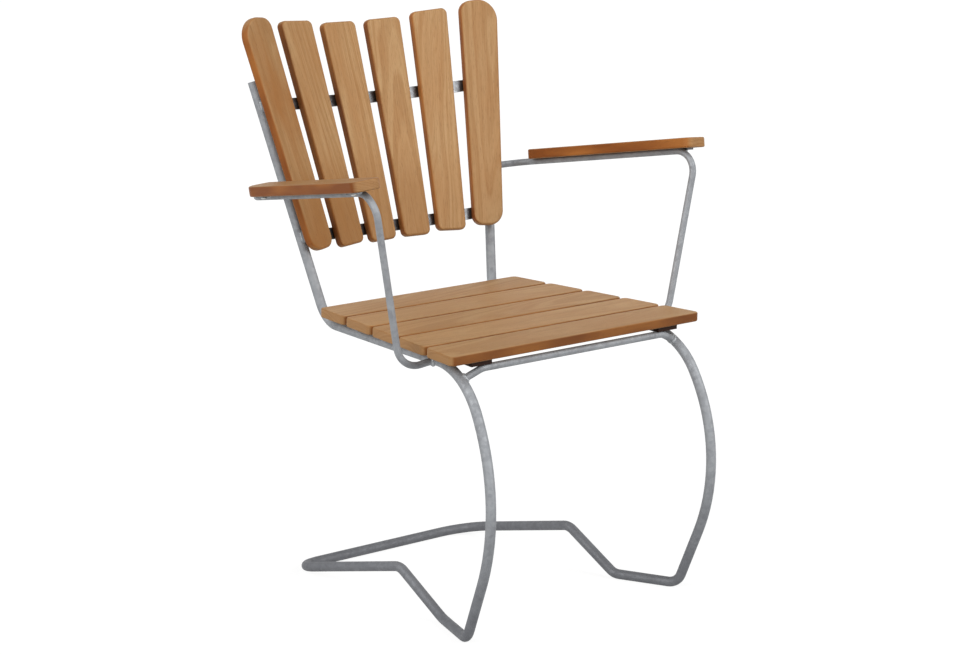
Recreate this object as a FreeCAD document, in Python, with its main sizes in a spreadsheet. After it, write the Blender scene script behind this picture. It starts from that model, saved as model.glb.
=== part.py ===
import FreeCAD, Part
import math
import os
import re

import Sketcher
from FreeCAD import Placement, Rotation, Vector

# Garden armchair: a bent spring-steel rod frame that carries a seat of cross boards,
# a curved fan of back boards and two wooden armrests.
# Millimetres. The chair faces -Y, +X is the sitter's left, the floor is Z = 0 and the
# origin lies on the floor under the middle of the chair's length and width.

# Driving dimensions: name, value, meaning.
DRIVING = [
    ("rod_diameter", 16, "main spring-steel rod"),
    ("rail_front_setback", 157.6, "from the front of the rail back to the origin"),
    ("rail_front_half", 217, "half spacing of the side rails at their front"),
    ("rail_height", 428, "rod centre above the floor at the rail's front"),
    ("rail_length", 326, "straight rail from leg bend to seat bend corner"),
    ("rail_taper", 7, "plan angle of each rail, closing towards the rear, degrees"),
    ("rail_rise", 0.8, "rise of the rails towards the rear, degrees"),
    ("seat_bend", 38, "bend radius between rail and upright"),
    ("upright_rise", 384, "height of the upright's cut top above the rail's end"),
    ("upright_run", 98, "how far the upright leans back over that height"),
    ("upright_spread", 68, "how far the upright leans outwards over that height"),
    ("knee_radius", 120, "first bend of the front leg"),
    ("knee_turn", 59.6, "turn of the first bend, degrees"),
    ("shin_radius", 300, "long sprung bend of the front leg"),
    ("shin_turn", 52.7, "turn of the long bend, degrees"),
    ("toe_bend", 25, "bend radius at the toe"),
    ("foot_length", 106, "floor runner behind the toe"),
    ("foot_inset", 41, "how far the runner closes inwards"),
    ("heel_bend", 30, "bend radius where the runner lifts"),
    ("hump_height", 60, "height of the hump's corner above the floor runner"),
    ("hump_run", 107, "length over which the rod lifts"),
    ("hump_inset", 3, "how far the rod closes inwards on the hump"),
    ("tail_run", 270, "length over which the rod drops to the rear floor bar"),
    ("tail_spread", 7, "how far the rod opens out towards the rear floor bar"),
    ("tail_bend", 55, "bend radius at the rear floor bar"),
    ("arm_rod_diameter", 11, "arm rod"),
    ("arm_join_rise", 208, "height of the arm rod's joint above the rail's end"),
    ("arm_reach", 72, "arm rod's run outwards from the upright"),
    ("arm_front_half", 338, "half spacing of the arm rods at their front top corner"),
    ("arm_front_height", 698.5, "height of that corner"),
    ("arm_front_offset", 4, "that corner behind the rail's front"),
    ("arm_foot_half", 281.5, "half spacing of the arm rods at their lower corner"),
    ("arm_foot_drop", 8, "lower corner below the rail"),
    ("arm_foot_offset", 13, "lower corner behind the rail's front"),
    ("arm_weld_offset", 8.5, "arm rod's lower joint behind the rail's front"),
    ("arm_rear_bend", 35, "bend radius beside the upright"),
    ("arm_front_bend", 35, "bend radius at the front of the armrest"),
    ("arm_foot_bend", 40, "bend radius at the lower hook"),
    ("cross_rod_diameter", 11.5, "rods across the seat frame"),
    ("front_cross_forward", 62, "front cross rod's ends ahead of the rail's front"),
    ("front_cross_lead", 8, "front cross rod's straight length ahead of its ends"),
    ("front_cross_shoulder", 35, "from the leg to the cross rod's bend"),
    ("front_cross_bend", 25, "bend radius of the front cross rod"),
    ("rear_cross_offset", 283, "rear cross rod behind the rail's front"),
    ("seat_rise", 25.5, "top of the seat's front edge above the centre of the rail's front"),
    ("seat_overhang", 84, "front edge of the seat ahead of the rail's front"),
    ("seat_pitch", 1.5, "rise of the seat towards the rear, degrees"),
    ("seat_depth", 386, "seat from front edge to rear edge"),
    ("seat_front_ledge", 45.5, "seat's front corners outboard of the rails' front"),
    ("seat_taper_inset", 54, "seat's rear corners inboard of its front corners"),
    ("seat_board_count", 5, "seat boards"),
    ("seat_board_gap", 5, "gap between seat boards"),
    ("seat_corner", 9, "corner radius of the seat boards in plan"),
    ("board_thickness", 15, "all boards of seat and back"),
    ("seat_edge", 2.5, "rounding of the seat boards' edges"),
    ("batten_width", 41, "seat battens"),
    ("batten_thickness", 7.8, "seat battens"),
    ("batten_inset", 30, "batten centre inboard of the rail's centre"),
    ("batten_fixing_inset", 14, "screws into the cross rods inboard of the batten's centre"),
    ("batten_front_offset", 7, "batten's front end behind the seat's front edge"),
    ("batten_rear_offset", 8, "batten's rear end ahead of the seat's rear edge"),
    ("back_tilt", 16.5, "lean of the backrest, degrees"),
    ("back_setback", 368.5, "lower back bar's face behind the rail's front"),
    ("back_height", 565, "height of the lower back bar's centre"),
    ("back_bar_spacing", 215, "from the lower to the upper back bar"),
    ("back_bar_height", 19, "flat bar"),
    ("back_bar_thickness", 5, "flat bar"),
    ("back_bar_tail", 5, "bar's end past the upright's centre"),
    ("back_board_count", 6, "back boards"),
    ("back_pitch_low", 72, "spacing of the back boards at the lower bar"),
    ("back_pitch_high", 85.3, "spacing of the back boards at the upper bar"),
    ("back_width_low", 55.3, "width of a back board at the lower bar"),
    ("back_width_high", 64.6, "width of a back board at the upper bar"),
    ("back_bottom", 23.5, "back boards below the lower bar's centre"),
    ("back_top", 340.5, "middle of the back's top above the lower bar's centre"),
    ("back_top_sweep", 1190, "radius of the dished line along the tops"),
    ("back_corner", 10, "corner radius of the inner back boards"),
    ("back_edge", 4.5, "rounding of the back boards' edges"),
    ("wing_drop", 4, "outermost boards' tops below the dished line"),
    ("wing_top_outer", 34, "outer top corner radius of the outermost boards"),
    ("wing_top_inner", 20, "inner top corner radius of the outermost boards"),
    ("wing_foot_outer", 26, "outer lower corner radius of the outermost boards"),
    ("wing_foot_inner", 16, "inner lower corner radius of the outermost boards"),
    ("wing_foot_drop", 1.5, "outermost boards' feet below the others"),
    ("armrest_width", 50, "armrest"),
    ("armrest_thickness", 16.5, "armrest"),
    ("armrest_shift", 6, "armrest's centre outboard of the rod"),
    ("armrest_tilt", 5, "fall of the armrest towards its outer side, degrees"),
    ("armrest_start", 34, "armrest's rear end ahead of the arm rod's rear corner"),
    ("armrest_end", 0.5, "armrest's front end behind the arm rod's front corner"),
    ("armrest_groove", 1.5, "depth to which the rod lies in the armrest"),
    ("armrest_front_corner", 14, "front corner radius of the armrest"),
    ("armrest_rear_outer", 30, "rear outer corner radius of the armrest"),
    ("armrest_rear_inner", 5, "rear inner corner radius of the armrest"),
    ("armrest_edge", 2.5, "rounding of the armrest's edges"),
    ("tab_length", 22, "lug under the armrest, along the rod"),
    ("tab_reach", 21, "lug's outer end from the rod's centre"),
    ("tab_thickness", 3, "lug"),
    ("tab_inset", 34, "lug's centre from the armrest's ends"),
    ("screw_diameter", 5, "wood screws"),
    ("screw_head_diameter", 9.5, "pan heads"),
    ("screw_head_height", 3, "pan heads"),
    ("screw_bite", 9, "length of the screws in the wood"),
    ("rod_bite", 7, "length of the battens' screws in the cross rods"),
    ("hole_clearance", 0.3, "round a screw or its head where it passes through"),
    ("thread_clearance", 0.05, "round a screw's thread"),
    ("joint_gap", 0.05, "between welded or seated faces"),
    ("board_seat_gap", 0.35, "between a back board and the curved bar"),
    ("bar_seat_gap", 0.4, "between a back bar and the upright"),
]

doc = FreeCAD.newDocument("GardenArmchair")
sheet = doc.addObject("Spreadsheet::Sheet", "Sizes")
for row, (alias, number, meaning) in enumerate(DRIVING, start=1):
    sheet.set(f"A{row}", meaning)
    sheet.set(f"B{row}", str(number))
    sheet.setAlias(f"B{row}", alias)
doc.recompute()

ALIAS = re.compile(r"\b(" + "|".join(alias for alias, number, meaning in DRIVING) + r")\b")
EAST = Vector(1, 0, 0)
NORTH = Vector(0, 1, 0)
UP = Vector(0, 0, 1)
QUARTER_TURN = 90
PARTS = []


def value(expression):
    """Number that an expression in the sheet's names gives."""
    result = sheet.evalExpression(expression)
    return float(getattr(result, "Value", result))


def bind(item, prop, expression):
    """Tie a property to the sheet."""
    item.setExpression(prop, ALIAS.sub(r"Sizes.\1", expression))


def keep(item, name):
    """Make an object one of the chair's pieces."""
    item.Label = name
    PARTS.append(item)
    return item


def mirrored(item, name):
    """The same piece on the other side of the chair."""
    other = doc.addObject("Part::Mirroring", name + "_mirror")
    other.Source = item
    other.Normal = EAST
    other.Base = Vector()
    return keep(other, name)


def cut(base, tool, name):
    """Part::Cut of two objects."""
    result = doc.addObject("Part::Cut", name)
    result.Base = base
    result.Tool = tool
    return result


def solids(shapes, name):
    """Object that holds several separate shapes."""
    group = doc.addObject("Part::Feature", name)
    group.Shape = Part.makeCompound(shapes)
    return group


def axes(origin, x_axis, z_axis):
    """Placement with its Z along z_axis and its X as near to x_axis as that allows."""
    return Placement(origin, Rotation(x_axis, Vector(), z_axis, "ZXY"))


# Bent rods


def rounded_path(points, radii, name):
    """Line through the points with a tangent arc of its own radius at each corner."""
    edges = []
    start = points[0]
    for corner, before, after, radius in zip(points[1:-1], points[:-2], points[2:], radii):
        back = (before - corner).normalize()
        ahead = (after - corner).normalize()
        half_turn = (math.pi - back.getAngle(ahead)) / 2
        reach = radius * math.tan(half_turn)
        bisector = (back + ahead).normalize()
        middle = corner + bisector * (radius / math.cos(half_turn) - radius)
        first = corner + back * reach
        last = corner + ahead * reach
        if not start.isEqual(first, value("joint_gap")):
            edges.append(Part.LineSegment(start, first).toShape())
        edges.append(Part.Arc(first, middle, last).toShape())
        start = last
    edges.append(Part.LineSegment(start, points[-1]).toShape())
    path = doc.addObject("Part::Feature", name + "_path")
    path.Shape = Part.Wire(edges)
    return path


def rod(points, radii, name, radius, seam=0):
    """Round rod swept along a rounded path, its seam turned clear of any drilled hole."""
    path = rounded_path(points, radii, name)
    section = doc.addObject("Part::Circle", name + "_section")
    bind(section, "Radius", radius)
    facing = Rotation(UP, points[1] - points[0]) * Rotation(UP, seam)
    section.Placement = Placement(points[0], facing)
    sweep = doc.addObject("Part::Sweep", name + "_sweep")
    sweep.Sections = [section]
    sweep.Spine = (path, [f"Edge{n}" for n in range(1, len(path.Shape.Edges) + 1)])
    sweep.Solid = True
    sweep.Frenet = False
    return sweep


def mirror_point(point):
    """The point on the other side of the chair."""
    return Vector(-point.x, point.y, point.z)


def leg_direction(drop):
    """Direction in the leg's own upright plane, turned down by drop degrees."""
    taper = math.radians(value("rail_taper"))
    forward = Vector(math.sin(taper), -math.cos(taper), 0)
    return forward * math.cos(math.radians(drop)) - UP * math.sin(math.radians(drop))


rod_radius = value("rod_diameter / 2")
rail_front = Vector(value("rail_front_half"), -value("rail_front_setback"), value("rail_height"))
rail_drop = value("rail_rise")
knee_drop = rail_drop + value("knee_turn")
shin_drop = knee_drop + value("shin_turn")
rail_end = rail_front - leg_direction(rail_drop) * value("rail_length")
lean = Vector(value("upright_spread"), value("upright_run"), value("upright_rise"))
upright_top = rail_end + lean
knee_reach = value("knee_radius * tan(knee_turn * 1 deg / 2)")
shin_reach = value("shin_radius * tan(shin_turn * 1 deg / 2)")
knee = rail_front + leg_direction(rail_drop) * knee_reach
shin = knee + leg_direction(knee_drop) * (knee_reach + shin_reach)
shin_fall = (shin.z - rod_radius) / math.sin(math.radians(shin_drop))
toe = shin + leg_direction(shin_drop) * shin_fall
heel = toe + Vector(-value("foot_inset"), value("foot_length"), 0)
hump = heel + Vector(-value("hump_inset"), value("hump_run"), value("hump_height"))
tail = hump + Vector(value("tail_spread"), value("tail_run"), -value("hump_height"))

HALF_ROUTE = [upright_top, rail_end, knee, shin, toe, heel, hump, tail]
HALF_BENDS = ["seat_bend", "knee_radius", "shin_radius", "toe_bend", "heel_bend", "heel_bend",
              "tail_bend"]
route = HALF_ROUTE + [mirror_point(point) for point in reversed(HALF_ROUTE)]
bends = [value(bend) for bend in HALF_BENDS + HALF_BENDS[::-1]]
keep(rod(route, bends, "main_frame", "rod_diameter / 2"), "main_frame")
frame_space = rod(route, bends, "frame_space", "rod_diameter / 2 + joint_gap")


def upright_at(height):
    """Point of the upright's centre line at a height above the rail's end."""
    return rail_end + lean * (height / lean.z)


arm_join = upright_at(value("arm_join_rise"))
arm_rear = arm_join + EAST * value("arm_reach")
arm_front = Vector(value("arm_front_half"), rail_front.y + value("arm_front_offset"),
                   value("arm_front_height"))
arm_foot = Vector(value("arm_foot_half"), rail_front.y + value("arm_foot_offset"),
                  rail_front.z - value("arm_foot_drop"))
arm_weld = rail_front - leg_direction(rail_drop) * value("arm_weld_offset")
arm_bends = [value("arm_rear_bend"), value("arm_front_bend"), value("arm_foot_bend")]
arm_sweep = rod([arm_join, arm_rear, arm_front, arm_foot, arm_weld], arm_bends, "arm_rod",
                "arm_rod_diameter / 2")
arm_rod = keep(cut(arm_sweep, frame_space, "arm_rod_coped"), "arm_rod_left")
mirrored(arm_rod, "arm_rod_right")

# Seat: a shallow wedge of boards on two battens that lie on the cross rods

seat_front = Vector(0, rail_front.y - value("seat_overhang"), rail_front.z + value("seat_rise"))
seat_place = Placement(seat_front, Rotation(EAST, value("seat_pitch")))
SEAT_BOARD_WIDTH = "(seat_depth - (seat_board_count - 1) * seat_board_gap) / seat_board_count"
SEAT_TAPER = "seat_taper_inset / seat_depth"
BATTEN_BOTTOM = "board_thickness + batten_thickness + 2 * joint_gap"


def seat_half(depth):
    """Half width of the seat at a depth behind its front edge."""
    return f"(rail_front_half + seat_front_ledge - {SEAT_TAPER} * ({depth}))"


def batten_centre(depth):
    """Distance of a batten's centre from the chair's middle, at a depth."""
    return f"(rail_front_half - batten_inset - tan(rail_taper * 1 deg) * (({depth}) - seat_overhang))"


def batten_fixing(side, depth):
    """Distance of a batten's screw into a cross rod from the chair's middle."""
    return f"({side} * ({batten_centre(depth)} - batten_fixing_inset))"


def outline(body, role, corners, name="outline", offset=None):
    """Closed sketch of straight sides whose corners are pairs of sheet expressions."""
    sketch = body.newObject("Sketcher::SketchObject", name)
    plane = [item for item in body.Origin.OriginFeatures if item.Role == role][0]
    sketch.AttachmentSupport = (plane, [""])
    sketch.MapMode = "FlatFace"
    if offset:
        bind(sketch, "AttachmentOffset.Base.z", offset)
    points = [Vector(value(across), value(along), 0) for across, along in corners]
    count = len(points)
    for index, point in enumerate(points):
        sketch.addGeometry(Part.LineSegment(point, points[(index + 1) % count]))
    for index in range(count):
        sketch.addConstraint(Sketcher.Constraint("Coincident", index, 2, (index + 1) % count, 1))
    for index, (across, along) in enumerate(corners):
        for kind, length in (("DistanceX", across), ("DistanceY", along)):
            rule = Sketcher.Constraint(kind, -1, 1, index, 1, value(length))
            bind(sketch, f"Constraints[{sketch.addConstraint(rule)}]", length)
    return sketch


def circles(body, role, centres, radius, name, offset=None):
    """Sketch of equal circles whose centres are pairs of sheet expressions."""
    sketch = body.newObject("Sketcher::SketchObject", name)
    plane = [item for item in body.Origin.OriginFeatures if item.Role == role][0]
    sketch.AttachmentSupport = (plane, [""])
    sketch.MapMode = "FlatFace"
    if offset:
        bind(sketch, "AttachmentOffset.Base.z", offset)
    for index, (across, along) in enumerate(centres):
        middle = Vector(value(across), value(along), 0)
        sketch.addGeometry(Part.Circle(middle, Vector(0, 0, 1), value(radius)))
        for kind, length in (("DistanceX", across), ("DistanceY", along)):
            rule = Sketcher.Constraint(kind, -1, 1, index, 3, value(length))
            bind(sketch, f"Constraints[{sketch.addConstraint(rule)}]", length)
        rule = Sketcher.Constraint("Radius", index, value(radius))
        bind(sketch, f"Constraints[{sketch.addConstraint(rule)}]", radius)
    return sketch


def pad(body, sketch, length, reverse=False):
    """Pad of a sketch to a bound length."""
    feature = body.newObject("PartDesign::Pad", "pad")
    feature.Profile = sketch
    bind(feature, "Length", length)
    feature.Reversed = reverse
    sketch.Visibility = False
    doc.recompute()
    return feature


def pocket(body, sketch, length, reverse=False, through=False):
    """Pocket of a sketch, checked to take material away."""
    before = body.Shape.Volume
    feature = body.newObject("PartDesign::Pocket", "pocket")
    feature.Profile = sketch
    bind(feature, "Length", length)
    feature.Reversed = reverse
    feature.Midplane = through
    doc.recompute()
    if body.Shape.Volume >= before:
        raise RuntimeError(f"{body.Name}: a pocket cuts nothing")
    return feature


def soften(body, feature, edges, radius):
    """Fillet of chosen edges."""
    fillet = body.newObject("PartDesign::Fillet", "fillet")
    fillet.Base = (feature, edges)
    bind(fillet, "Radius", radius)
    doc.recompute()
    return fillet


def edge_near(shape, direction, across, along):
    """Name of the edge along a direction that passes nearest to a place in the sketch."""
    best = None
    for number, edge in enumerate(shape.Edges, start=1):
        line = edge.lastVertex().Point - edge.firstVertex().Point
        if line.Length == 0 or line.cross(direction).Length > line.Length * direction.Length / 1000:
            continue
        point = edge.CenterOfMass
        place = (point.x, point.z if direction == NORTH else point.y)
        distance = math.hypot(place[0] - across, place[1] - along)
        if best is None or distance < best[0]:
            best = (distance, f"Edge{number}")
    return best[1]


def edges_at(shape, axis, level):
    """Names of the edges that lie wholly at a level along an axis."""
    names = []
    for number, edge in enumerate(shape.Edges, start=1):
        box = edge.BoundBox
        low, high = (box.YMin, box.YMax) if axis == NORTH else (box.ZMin, box.ZMax)
        if abs(low - level) < value("joint_gap") and abs(high - level) < value("joint_gap"):
            names.append(f"Edge{number}")
    return names


def round_corners(body, feature, direction, corners, radii):
    """Fillet each corner of an outline with its own radius."""
    for (across, along), radius in zip(corners, radii):
        edge = edge_near(feature.Shape, direction, value(across), value(along))
        feature = soften(body, feature, [edge], radius)
    return feature


SCREW_RADIUS = "screw_diameter / 2"
PILOT_RADIUS = "screw_diameter / 2 + thread_clearance"
HOLE_RADIUS = "screw_diameter / 2 + hole_clearance"
PILOT_DEPTH = "screw_bite + 4 * thread_clearance"
HEAD_SPACE = "screw_head_diameter / 2 + hole_clearance"
HEAD_DEPTH = "(screw_head_height + hole_clearance)"


def seat_board(number):
    """Seat board across the chair, its ends cut along the seat's taper."""
    name = f"seat_slat_{number}"
    body = doc.addObject("PartDesign::Body", name)
    front = f"{number - 1} * ({SEAT_BOARD_WIDTH} + seat_board_gap)"
    rear = f"({front} + {SEAT_BOARD_WIDTH})"
    middle = f"({front} + {SEAT_BOARD_WIDTH} / 2)"
    corners = [(f"-{seat_half(front)}", front), (seat_half(front), front),
               (seat_half(rear), rear), (f"-{seat_half(rear)}", rear)]
    feature = pad(body, outline(body, "XY_Plane", corners), "board_thickness", reverse=True)
    feature = round_corners(body, feature, UP, corners, ["seat_corner"] * len(corners))
    bottom = -value("board_thickness")
    faces = edges_at(feature.Shape, UP, 0) + edges_at(feature.Shape, UP, bottom)
    soften(body, feature, faces, "seat_edge")
    holes = [(batten_centre(middle), middle), (f"-{batten_centre(middle)}", middle)]
    pilots = circles(body, "XY_Plane", holes, PILOT_RADIUS, "pilots", "-board_thickness")
    pocket(body, pilots, PILOT_DEPTH, reverse=True)
    body.Placement = seat_place
    return keep(body, name)


board_count = int(value("seat_board_count"))
board_middles = [f"({n} * ({SEAT_BOARD_WIDTH} + seat_board_gap) + {SEAT_BOARD_WIDTH} / 2)"
                 for n in range(board_count)]
for number in range(1, board_count + 1):
    seat_board(number)

FRONT_CROSS_DEPTH = "(seat_overhang - front_cross_forward - front_cross_lead)"
REAR_CROSS_DEPTH = "(seat_overhang + rear_cross_offset)"


def batten(side, name):
    """Hardwood strip under the seat boards, parallel to the rail."""
    body = doc.addObject("PartDesign::Body", name)
    front = "batten_front_offset"
    rear = "(seat_depth - batten_rear_offset)"
    corners = [(f"{side} * ({batten_centre(front)} - batten_width / 2)", front),
               (f"{side} * ({batten_centre(front)} + batten_width / 2)", front),
               (f"{side} * ({batten_centre(rear)} + batten_width / 2)", rear),
               (f"{side} * ({batten_centre(rear)} - batten_width / 2)", rear)]
    top = "-board_thickness - joint_gap"
    pad(body, outline(body, "XY_Plane", corners, offset=top), "batten_thickness", reverse=True)
    holes = [(f"{side} * {batten_centre(middle)}", middle) for middle in board_middles]
    screws = circles(body, "XY_Plane", holes, HOLE_RADIUS, "screw_holes", top)
    pocket(body, screws, "2 * batten_thickness")
    fixings = [(batten_fixing(side, depth), depth)
               for depth in (FRONT_CROSS_DEPTH, REAR_CROSS_DEPTH)]
    shanks = circles(body, "XY_Plane", fixings, HOLE_RADIUS, "fixing_holes", top)
    pocket(body, shanks, "2 * batten_thickness")
    heads = circles(body, "XY_Plane", fixings, HEAD_SPACE, "head_holes", top)
    pocket(body, heads, HEAD_DEPTH)
    body.Placement = seat_place
    return keep(body, name)


batten(1, "seat_batten_left")
batten(-1, "seat_batten_right")


def seat_point(across, depth, below):
    """Point in the seat's own frame, given by sheet expressions."""
    return seat_place.multVec(Vector(value(across), value(depth), -value(below)))


def cross_height(depth):
    """Height of a cross rod's centre that lies under the battens at a depth."""
    return seat_point("0", depth, f"{BATTEN_BOTTOM} + cross_rod_diameter / 2").z


def leg_point(forward):
    """Point of the knee's arc that lies a distance ahead of the rail's front."""
    drop = math.radians(rail_drop)
    run = forward / math.cos(math.radians(value("rail_taper")))
    turn = math.asin(run / value("knee_radius") + math.sin(drop)) - drop
    fall = value("knee_radius") * (math.cos(drop) - math.cos(drop + turn))
    return rail_front + leg_direction(0) * run - UP * fall


def cylinder(name, base, direction, radius, length):
    """Cylinder of a bound radius from a point along a direction."""
    item = doc.addObject("Part::Cylinder", name)
    bind(item, "Radius", radius)
    bind(item, "Height", length)
    item.Placement = Placement(base, Rotation(UP, direction))
    return item


seat_up = seat_place.Rotation.multVec(UP)


def drilled(item, depth, name):
    """Cross rod with a tapped blind hole for each batten's screw."""
    for side in (1, -1):
        low = seat_point(batten_fixing(side, depth), depth,
                         f"{BATTEN_BOTTOM} + rod_bite + 4 * thread_clearance")
        hole = cylinder(f"{name}_hole", low, seat_up, PILOT_RADIUS, "cross_rod_diameter + rod_bite")
        item = cut(item, hole, f"{name}_drilled")
    return item


leg_joint = leg_point(value("front_cross_forward"))
shoulder = Vector(leg_joint.x - value("front_cross_shoulder"),
                  leg_joint.y - value("front_cross_lead"), cross_height(FRONT_CROSS_DEPTH))
cross_route = [leg_joint, shoulder, mirror_point(shoulder), mirror_point(leg_joint)]
front_sweep = rod(cross_route, [value("front_cross_bend")] * 2, "front_cross",
                  "cross_rod_diameter / 2", seam=QUARTER_TURN)
front_coped = cut(front_sweep, frame_space, "front_cross_coped")
keep(drilled(front_coped, FRONT_CROSS_DEPTH, "front_cross"), "front_cross_rod")

rear_offset = value("rear_cross_offset")
rear_joint = rail_front - leg_direction(0) * (rear_offset / math.cos(math.radians(value("rail_taper"))))
rear_joint.z = cross_height(REAR_CROSS_DEPTH)
rear_bar = cylinder("rear_cross", mirror_point(rear_joint), EAST, "cross_rod_diameter / 2",
                    f"2 * {rear_joint.x / value('rail_front_half')} * rail_front_half")
rear_coped = cut(rear_bar, frame_space, "rear_cross_coped")
keep(drilled(rear_coped, REAR_CROSS_DEPTH, "rear_cross"), "rear_cross_rod")

# Backrest: two curved flat bars welded to the front of the uprights, and a fan of boards

tilt = math.radians(value("back_tilt"))
back_up = Vector(0, math.sin(tilt), math.cos(tilt))
back_origin = Vector(0, rail_front.y + value("back_setback"), value("back_height"))
back_place = axes(back_origin, EAST, back_up)
back_to_local = back_place.inverse()


def upright_in_back(level):
    """Centre of the upright where it passes a level of the backrest's own frame."""
    low = back_to_local.multVec(rail_end)
    high = back_to_local.multVec(upright_top)
    return low + (high - low) * ((level - low.z) / (high.z - low.z))


class BackBar:
    """Flat bar bent to the arc that lands its ends on the fronts of the uprights."""

    def __init__(self, level, pitch, width):
        self.level = level
        self.pitch = pitch
        self.width = width
        post = upright_in_back(level)
        contact = rod_radius + value("bar_seat_gap")
        dish = value("back_bar_thickness") - post.y
        self.outer = (post.x ** 2 + dish ** 2 - contact ** 2) / (2 * (contact + dish))
        self.inner = self.outer - value("back_bar_thickness")
        self.half_angle = math.asin((post.x + value("back_bar_tail")) / self.outer)

    def angle(self, steps):
        """Angle round the bar's arc at which a board's front face is steps pitches out."""
        return math.asin(steps * self.pitch / (self.inner - value("board_thickness")))

    def board_centre(self, steps):
        """Middle of a board's rear face on this bar, steps pitches from the chair's middle."""
        reach = math.sqrt(self.inner ** 2 - (self.width / 2) ** 2) - value("board_seat_gap")
        angle = self.angle(steps)
        return Vector(reach * math.sin(angle), reach * math.cos(angle) - self.inner, self.level)

    def tangent(self, steps):
        """Sideways direction of the bar where that board sits."""
        angle = self.angle(steps)
        return Vector(math.cos(angle), -math.sin(angle), 0)


spacing = value("back_bar_spacing")
low_bar = BackBar(0, value("back_pitch_low"), value("back_width_low"))
high_bar = BackBar(spacing, value("back_pitch_high"), value("back_width_high"))

half_count = int(value("back_board_count")) // 2
BOARD_STEPS = [number + 0.5 for number in range(-half_count, half_count)]


def board_place(steps):
    """Placement of a back board: X across it, Y towards its rear, Z up along it."""
    foot = low_bar.board_centre(steps)
    along = high_bar.board_centre(steps) - foot
    across = low_bar.tangent(steps) + high_bar.tangent(steps)
    return back_place * axes(foot, across, along)


def board_screw_places(steps):
    """Placements of a back board's two screws, their Z pointing into the wood."""
    place = board_place(steps)
    foot = low_bar.board_centre(steps)
    length = (high_bar.board_centre(steps) - foot).Length
    found = []
    for level, bar in ((0, low_bar), (length, high_bar)):
        sag = bar.inner - math.sqrt(bar.inner ** 2 - (bar.width / 2) ** 2)
        depth = sag + value("2 * board_seat_gap + back_bar_thickness")
        found.append(place * Placement(Vector(0, depth, level), Rotation(EAST, QUARTER_TURN)))
    return found


back_screw_places = [place for steps in BOARD_STEPS for place in board_screw_places(steps)]


def back_bar(bar, places, name):
    """Sector of a tube of the bar's own arc, drilled for the boards' screws."""
    discs = []
    for part, radius in (("outer", bar.outer), ("inner", bar.inner)):
        disc = doc.addObject("Part::Cylinder", f"{name}_{part}")
        disc.Radius = radius
        bind(disc, "Height", "back_bar_height")
        disc.Angle = math.degrees(2 * bar.half_angle)
        turn = Rotation(UP, 90 - math.degrees(bar.half_angle))
        centre = Vector(0, -bar.inner, bar.level - value("back_bar_height / 2"))
        disc.Placement = back_place * Placement(centre, turn)
        discs.append(disc)
    bent = cut(discs[0], discs[1], f"{name}_bent")
    depth = value("4 * back_bar_thickness")
    holes = []
    for place in places:
        start = place.multVec(UP * -depth / 2)
        holes.append(Part.makeCylinder(value(HOLE_RADIUS), depth, start, place.Rotation.multVec(UP)))
    return keep(cut(bent, solids(holes, f"{name}_holes"), f"{name}_drilled"), name)


back_bar(low_bar, back_screw_places[0::2], "lower_back_bar")
back_bar(high_bar, back_screw_places[1::2], "upper_back_bar")


def back_board(number, steps):
    """Tapered back board; the two outermost ones end in a large round."""
    name = f"back_slat_{number}"
    body = doc.addObject("PartDesign::Body", name)
    side = 1 if steps > 0 else -1
    distance = abs(steps)
    growth = "(back_width_high - back_width_low) / back_bar_spacing"
    low_half = f"((back_width_low - {growth} * back_bottom) / 2)"
    high_half = f"((back_width_low + {growth} * back_top) / 2)"
    fan = "(back_pitch_high - back_pitch_low) / back_bar_spacing"
    centre = f"({distance} * (back_pitch_low + {fan} * back_top))"
    wing = distance > half_count - 1
    top = "back_top - wing_drop" if wing else "back_top"
    foot_level = "-(back_bottom + wing_foot_drop)" if wing else "-back_bottom"
    outer_top = f"{top} + ({centre} + {high_half}) ^ 2 / (2 * back_top_sweep)"
    inner_top = f"{top} + ({centre} - {high_half}) ^ 2 / (2 * back_top_sweep)"
    corners = [(f"{-side} * {low_half}", foot_level), (f"{side} * {low_half}", foot_level),
               (f"{side} * {high_half}", outer_top), (f"{-side} * {high_half}", inner_top)]
    radii = ["back_corner"] * len(corners)
    if wing:
        radii = ["wing_foot_inner", "wing_foot_outer", "wing_top_outer", "wing_top_inner"]
    feature = pad(body, outline(body, "XZ_Plane", corners), "board_thickness")
    feature = round_corners(body, feature, NORTH, corners, radii)
    front = -value("board_thickness")
    faces = edges_at(feature.Shape, NORTH, 0) + edges_at(feature.Shape, NORTH, front)
    soften(body, feature, faces, "back_edge")
    foot = low_bar.board_centre(steps)
    length = (high_bar.board_centre(steps) - foot).Length
    holes = [("0", "0"), ("0", f"back_bar_spacing * {length / spacing}")]
    pilots = circles(body, "XZ_Plane", holes, PILOT_RADIUS, "pilots")
    pocket(body, pilots, PILOT_DEPTH, reverse=True)
    body.Placement = board_place(steps)
    return keep(body, name)


for number, steps in enumerate(BOARD_STEPS, start=1):
    back_board(number, -steps)

# Armrests: boards grooved underneath for the rod and held from below by welded lugs

arm_line = arm_rear - arm_front
arm_length = arm_line.Length
arm_across = Vector(arm_line.y, -arm_line.x, 0)
level_place = axes(arm_front, arm_across, arm_across.cross(arm_line))
arm_place = level_place * Placement(Vector(), Rotation(NORTH, value("armrest_tilt")))
arm_up = arm_place.Rotation.multVec(UP)
ARM_UNDERSIDE = "(arm_rod_diameter / 2 - armrest_groove + joint_gap)"
ARM_REAR = f"({arm_length / value('arm_front_half')} * arm_front_half - armrest_start)"
LUG_STATIONS = [f"({ARM_REAR} - tab_inset)", "(armrest_end + tab_inset)"]
LUG_SCREW = "((arm_rod_diameter / 2 + tab_reach) / 2)"


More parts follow.
